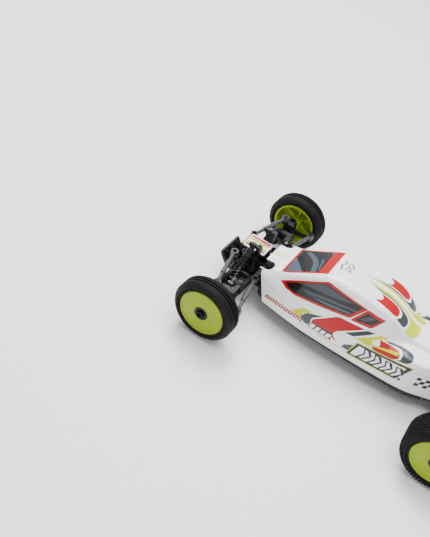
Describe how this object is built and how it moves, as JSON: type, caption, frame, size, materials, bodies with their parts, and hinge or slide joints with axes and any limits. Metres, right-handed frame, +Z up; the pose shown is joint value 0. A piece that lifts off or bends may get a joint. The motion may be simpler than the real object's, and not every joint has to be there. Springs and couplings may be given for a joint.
{
  "type": "radio-controlled off-road buggy",
  "caption": "Small two-wheel-drive radio-controlled off-road buggy with painted shell, dished rims, working steering, suspension and geared rear drive.",
  "frame": {"origin": "centre of the bounding box, on the ground under the car", "axes": "+Z up; -Y towards the nose; +X towards the car's left side"},
  "size_m": [0.0994, 0.163, 0.059],
  "materials": {
    "black_nylon": "moulded, fine grain",
    "grey_nylon": "moulded, satin",
    "white_shell": "clear formed sheet, painted from inside",
    "lime_rim": "moulded, gloss",
    "tyre_rubber": "soft rubber",
    "steel": "turned and plated",
    "motor_steel": "drawn can",
    "dark_nylon": "moulded, satin",
    "battery_wrap": "shrink wrap",
    "board_green": "solder mask"
  },
  "bodies": {
    "chassis": {"chassis_tub": "black_nylon", "front_bumper": "black_nylon", "front_bulkhead": "black_nylon", "nose_plate": "white_shell", "front_shock_tower": "black_nylon", "body_shell": "white_shell", "gearbox_case": "dark_nylon", "rear_shock_tower": "black_nylon", "rear_wing": "white_shell", "motor_can": "motor_steel", "steering_servo": "dark_nylon", "battery_pack": "battery_wrap", "control_board": "board_green", "hinge_pins": "steel", "body_screws": "steel"},
    "pinion": {"motor_pinion": "steel"},
    "layshaft": {"layshaft_gears": "grey_nylon"},
    "idler_gear": {"idler_gear": "grey_nylon"},
    "diff": {"differential": "steel"},
    "servo_lever": {"servo_saver": "dark_nylon"},
    "idler": {"idler_lever": "dark_nylon"},
    "rack": {"steering_rack": "black_nylon"},
    "front_arm_left": {"front_arm_left": "black_nylon"},
    "caster_left": {"caster_block_left": "black_nylon"},
    "knuckle_left": {"steering_knuckle_left": "black_nylon", "front_axle_left": "steel"},
    "front_wheel_left": {"front_wheel_left": "lime_rim", "front_tyre_left": "tyre_rubber"},
    "front_link_left": {"front_camber_link_left": "grey_nylon"},
    "tie_rod_left": {"tie_rod_left": "grey_nylon"},
    "front_shock_left": {"front_shock_body_left": "dark_nylon"},
    "front_rod_left": {"front_shock_rod_left": "steel"},
    "rear_arm_left": {"rear_arm_left": "black_nylon"},
    "rear_hub_left": {"rear_hub_left": "black_nylon"},
    "rear_wheel_left": {"rear_axle_left": "steel", "rear_wheel_left": "lime_rim", "rear_tyre_left": "tyre_rubber"},
    "rear_link_left": {"rear_camber_link_left": "grey_nylon"},
    "drive_shaft_left": {"drive_shaft_left": "steel"},
    "rear_shock_left": {"rear_shock_body_left": "dark_nylon"},
    "rear_rod_left": {"rear_shock_rod_left": "steel"},
    "front_arm_right": {"front_arm_right": "black_nylon"},
    "caster_right": {"caster_block_right": "black_nylon"},
    "knuckle_right": {"steering_knuckle_right": "black_nylon", "front_axle_right": "steel"},
    "front_wheel_right": {"front_wheel_right": "lime_rim", "front_tyre_right": "tyre_rubber"},
    "front_link_right": {"front_camber_link_right": "grey_nylon"},
    "tie_rod_right": {"tie_rod_right": "grey_nylon"},
    "front_shock_right": {"front_shock_body_right": "dark_nylon"},
    "front_rod_right": {"front_shock_rod_right": "steel"},
    "rear_arm_right": {"rear_arm_right": "black_nylon"},
    "rear_hub_right": {"rear_hub_right": "black_nylon"},
    "rear_wheel_right": {"rear_axle_right": "steel", "rear_wheel_right": "lime_rim", "rear_tyre_right": "tyre_rubber"},
    "rear_link_right": {"rear_camber_link_right": "grey_nylon"},
    "drive_shaft_right": {"drive_shaft_right": "steel"},
    "rear_shock_right": {"rear_shock_body_right": "dark_nylon"},
    "rear_rod_right": {"rear_shock_rod_right": "steel"}
  },
  "joints": [
    {"name": "steer_servo", "type": "hinge", "parent": "chassis", "child": "servo_lever", "pos_m": [0.003, -0.07, 0.01795], "axis": [0, 0, 1], "range_deg": [-20, 20]},
    {"name": "steer_idler", "type": "hinge", "parent": "chassis", "child": "idler", "pos_m": [-0.003, -0.07, 0.01795], "axis": [0, 0, 1], "range_deg": [-21, 21]},
    {"name": "rack_swing", "type": "hinge", "parent": "servo_lever", "child": "rack", "pos_m": [0.003, -0.058, 0.01795], "axis": [0, 0, 1], "range_deg": [-21, 21]},
    {"name": "front_arm_swing_left", "type": "hinge", "parent": "chassis", "child": "front_arm_left", "pos_m": [0.0095, -0.065, 0.01255], "axis": [0, -1, 0], "range_deg": [-12, 10], "stiffness_Nm_per_rad": 0.5, "springref_deg": -1.72},
    {"name": "caster_level_left", "type": "hinge", "parent": "front_arm_left", "child": "caster_left", "pos_m": [0.0335, -0.065, 0.01255], "axis": [0, -1, 0], "range_deg": [-11, 13]},
    {"name": "knuckle_steer_left", "type": "hinge", "parent": "caster_left", "child": "knuckle_left", "pos_m": [0.037, -0.065, 0.01575], "axis": [0, 0, 1], "range_deg": [-21, 21]},
    {"name": "front_wheel_spin_left", "type": "hinge", "parent": "knuckle_left", "child": "front_wheel_left", "pos_m": [0.045, -0.065, 0.01575], "axis": [1, 0, 0], "continuous": true},
    {"name": "front_link_swing_left", "type": "hinge", "parent": "chassis", "child": "front_link_left", "pos_m": [0.0095, -0.0735, 0.02205], "axis": [0, -1, 0], "range_deg": [-13, 11]},
    {"name": "tie_rod_swing_left", "type": "hinge", "parent": "rack", "child": "tie_rod_left", "pos_m": [0.013, -0.058, 0.01695], "axis": [0, -1, 0], "range_deg": [-13, 11]},
    {"name": "front_shock_swing_left", "type": "hinge", "parent": "chassis", "child": "front_shock_left", "pos_m": [0.0075, -0.0659, 0.03025], "axis": [0, -1, 0], "range_deg": [-5, 4]},
    {"name": "front_rod_stroke_left", "type": "slide", "parent": "front_shock_left", "child": "front_rod_left", "axis": [-0.6785, 0, 0.7346], "range_m": [-0.0024, 0.002]},
    {"name": "rear_arm_swing_left", "type": "hinge", "parent": "chassis", "child": "rear_arm_left", "pos_m": [0.0095, 0.0515, 0.01105], "axis": [0, -1, 0], "range_deg": [-12, 10], "stiffness_Nm_per_rad": 0.8, "springref_deg": -1.72},
    {"name": "rear_hub_level_left", "type": "hinge", "parent": "rear_arm_left", "child": "rear_hub_left", "pos_m": [0.0335, 0.0515, 0.01105], "axis": [0, -1, 0], "range_deg": [-11, 13]},
    {"name": "rear_wheel_spin_left", "type": "hinge", "parent": "rear_hub_left", "child": "rear_wheel_left", "pos_m": [0.045, 0.0515, 0.01625], "axis": [1, 0, 0], "continuous": true},
    {"name": "rear_link_swing_left", "type": "hinge", "parent": "chassis", "child": "rear_link_left", "pos_m": [0.0095, 0.0481, 0.02325], "axis": [0, -1, 0], "range_deg": [-13, 11]},
    {"name": "drive_shaft_swing_left", "type": "hinge", "parent": "chassis", "child": "drive_shaft_left", "pos_m": [0.009, 0.0515, 0.01625], "axis": [0, -1, 0], "range_deg": [-13, 11]},
    {"name": "rear_shock_swing_left", "type": "hinge", "parent": "chassis", "child": "rear_shock_left", "pos_m": [0.0095, 0.057, 0.03825], "axis": [0, -1, 0], "range_deg": [-4, 3]},
    {"name": "rear_rod_stroke_left", "type": "slide", "parent": "rear_shock_left", "child": "rear_rod_left", "axis": [-0.5179, 0, 0.8554], "range_m": [-0.0031, 0.0026]},
    {"name": "front_arm_swing_right", "type": "hinge", "parent": "chassis", "child": "front_arm_right", "pos_m": [-0.0095, -0.065, 0.01255], "axis": [0, 1, 0], "range_deg": [-12, 10], "stiffness_Nm_per_rad": 0.5, "springref_deg": -1.72},
    {"name": "caster_level_right", "type": "hinge", "parent": "front_arm_right", "child": "caster_right", "pos_m": [-0.0335, -0.065, 0.01255], "axis": [0, 1, 0], "range_deg": [-11, 13]},
    {"name": "knuckle_steer_right", "type": "hinge", "parent": "caster_right", "child": "knuckle_right", "pos_m": [-0.037, -0.065, 0.01575], "axis": [0, 0, 1], "range_deg": [-21, 21]},
    {"name": "front_wheel_spin_right", "type": "hinge", "parent": "knuckle_right", "child": "front_wheel_right", "pos_m": [-0.045, -0.065, 0.01575], "axis": [1, 0, 0], "continuous": true},
    {"name": "front_link_swing_right", "type": "hinge", "parent": "chassis", "child": "front_link_right", "pos_m": [-0.0095, -0.0735, 0.02205], "axis": [0, 1, 0], "range_deg": [-13, 11]},
    {"name": "tie_rod_swing_right", "type": "hinge", "parent": "rack", "child": "tie_rod_right", "pos_m": [-0.013, -0.058, 0.01695], "axis": [0, 1, 0], "range_deg": [-13, 11]},
    {"name": "front_shock_swing_right", "type": "hinge", "parent": "chassis", "child": "front_shock_right", "pos_m": [-0.0075, -0.0659, 0.03025], "axis": [0, 1, 0], "range_deg": [-5, 4]},
    {"name": "front_rod_stroke_right", "type": "slide", "parent": "front_shock_right", "child": "front_rod_right", "axis": [0.6785, 0, 0.7346], "range_m": [-0.0024, 0.002]},
    {"name": "rear_arm_swing_right", "type": "hinge", "parent": "chassis", "child": "rear_arm_right", "pos_m": [-0.0095, 0.0515, 0.01105], "axis": [0, 1, 0], "range_deg": [-12, 10], "stiffness_Nm_per_rad": 0.8, "springref_deg": -1.72},
    {"name": "rear_hub_level_right", "type": "hinge", "parent": "rear_arm_right", "child": "rear_hub_right", "pos_m": [-0.0335, 0.0515, 0.01105], "axis": [0, 1, 0], "range_deg": [-11, 13]},
    {"name": "rear_wheel_spin_right", "type": "hinge", "parent": "rear_hub_right", "child": "rear_wheel_right", "pos_m": [-0.045, 0.0515, 0.01625], "axis": [1, 0, 0], "continuous": true},
    {"name": "rear_link_swing_right", "type": "hinge", "parent": "chassis", "child": "rear_link_right", "pos_m": [-0.0095, 0.0481, 0.02325], "axis": [0, 1, 0], "range_deg": [-13, 11]},
    {"name": "drive_shaft_swing_right", "type": "hinge", "parent": "chassis", "child": "drive_shaft_right", "pos_m": [-0.009, 0.0515, 0.01625], "axis": [0, 1, 0], "range_deg": [-13, 11]},
    {"name": "rear_shock_swing_right", "type": "hinge", "parent": "chassis", "child": "rear_shock_right", "pos_m": [-0.0095, 0.057, 0.03825], "axis": [0, 1, 0], "range_deg": [-4, 3]},
    {"name": "rear_rod_stroke_right", "type": "slide", "parent": "rear_shock_right", "child": "rear_rod_right", "axis": [0.5179, 0, 0.8554], "range_m": [-0.0031, 0.0026]},
    {"name": "diff_spin", "type": "hinge", "parent": "chassis", "child": "diff", "pos_m": [0, 0.0515, 0.01625], "axis": [1, 0, 0], "continuous": true},
    {"name": "idler_spin", "type": "hinge", "parent": "chassis", "child": "idler_gear", "pos_m": [0, 0.04102, 0.01716], "axis": [1, 0, 0], "continuous": true},
    {"name": "layshaft_spin", "type": "hinge", "parent": "chassis", "child": "layshaft", "pos_m": [0, 0.03452, 0.01772], "axis": [1, 0, 0], "continuous": true},
    {"name": "pinion_spin", "type": "hinge", "parent": "chassis", "child": "pinion", "pos_m": [0, 0.02476, 0.01505], "axis": [1, 0, 0], "continuous": true}
  ],
  "couplings": [
    {"joint": "steer_idler", "follows": "steer_servo", "ratio": 1},
    {"joint": "rack_swing", "follows": "steer_servo", "ratio": -1},
    {"joint": "caster_level_left", "follows": "front_arm_swing_left", "ratio": -1},
    {"joint": "knuckle_steer_left", "follows": "steer_servo", "ratio": 1},
    {"joint": "front_link_swing_left", "follows": "front_arm_swing_left", "ratio": 1},
    {"joint": "tie_rod_swing_left", "follows": "front_arm_swing_left", "ratio": 1},
    {"joint": "front_shock_swing_left", "follows": "front_arm_swing_left", "ratio": 0.33118},
    {"joint": "front_rod_stroke_left", "follows": "front_arm_swing_left", "m_per_rad": 0.010404},
    {"joint": "rear_hub_level_left", "follows": "rear_arm_swing_left", "ratio": -1},
    {"joint": "rear_link_swing_left", "follows": "rear_arm_swing_left", "ratio": 1},
    {"joint": "drive_shaft_swing_left", "follows": "rear_arm_swing_left", "ratio": 1},
    {"joint": "rear_shock_swing_left", "follows": "rear_arm_swing_left", "ratio": 0.22743},
    {"joint": "rear_rod_stroke_left", "follows": "rear_arm_swing_left", "m_per_rad": 0.013928},
    {"joint": "caster_level_right", "follows": "front_arm_swing_right", "ratio": -1},
    {"joint": "knuckle_steer_right", "follows": "steer_servo", "ratio": 1},
    {"joint": "front_link_swing_right", "follows": "front_arm_swing_right", "ratio": 1},
    {"joint": "tie_rod_swing_right", "follows": "front_arm_swing_right", "ratio": 1},
    {"joint": "front_shock_swing_right", "follows": "front_arm_swing_right", "ratio": 0.33118},
    {"joint": "front_rod_stroke_right", "follows": "front_arm_swing_right", "m_per_rad": 0.010404},
    {"joint": "rear_hub_level_right", "follows": "rear_arm_swing_right", "ratio": -1},
    {"joint": "rear_link_swing_right", "follows": "rear_arm_swing_right", "ratio": 1},
    {"joint": "drive_shaft_swing_right", "follows": "rear_arm_swing_right", "ratio": 1},
    {"joint": "rear_shock_swing_right", "follows": "rear_arm_swing_right", "ratio": 0.22743},
    {"joint": "rear_rod_stroke_right", "follows": "rear_arm_swing_right", "m_per_rad": 0.013928},
    {"joint": "diff_spin", "follows": "rear_wheel_spin_left", "ratio": 1},
    {"joint": "rear_wheel_spin_right", "follows": "rear_wheel_spin_left", "ratio": 1},
    {"joint": "idler_spin", "follows": "rear_wheel_spin_left", "ratio": -1.8889},
    {"joint": "layshaft_spin", "follows": "rear_wheel_spin_left", "ratio": 2.4286},
    {"joint": "pinion_spin", "follows": "rear_wheel_spin_left", "ratio": -9.7143}
  ]
}
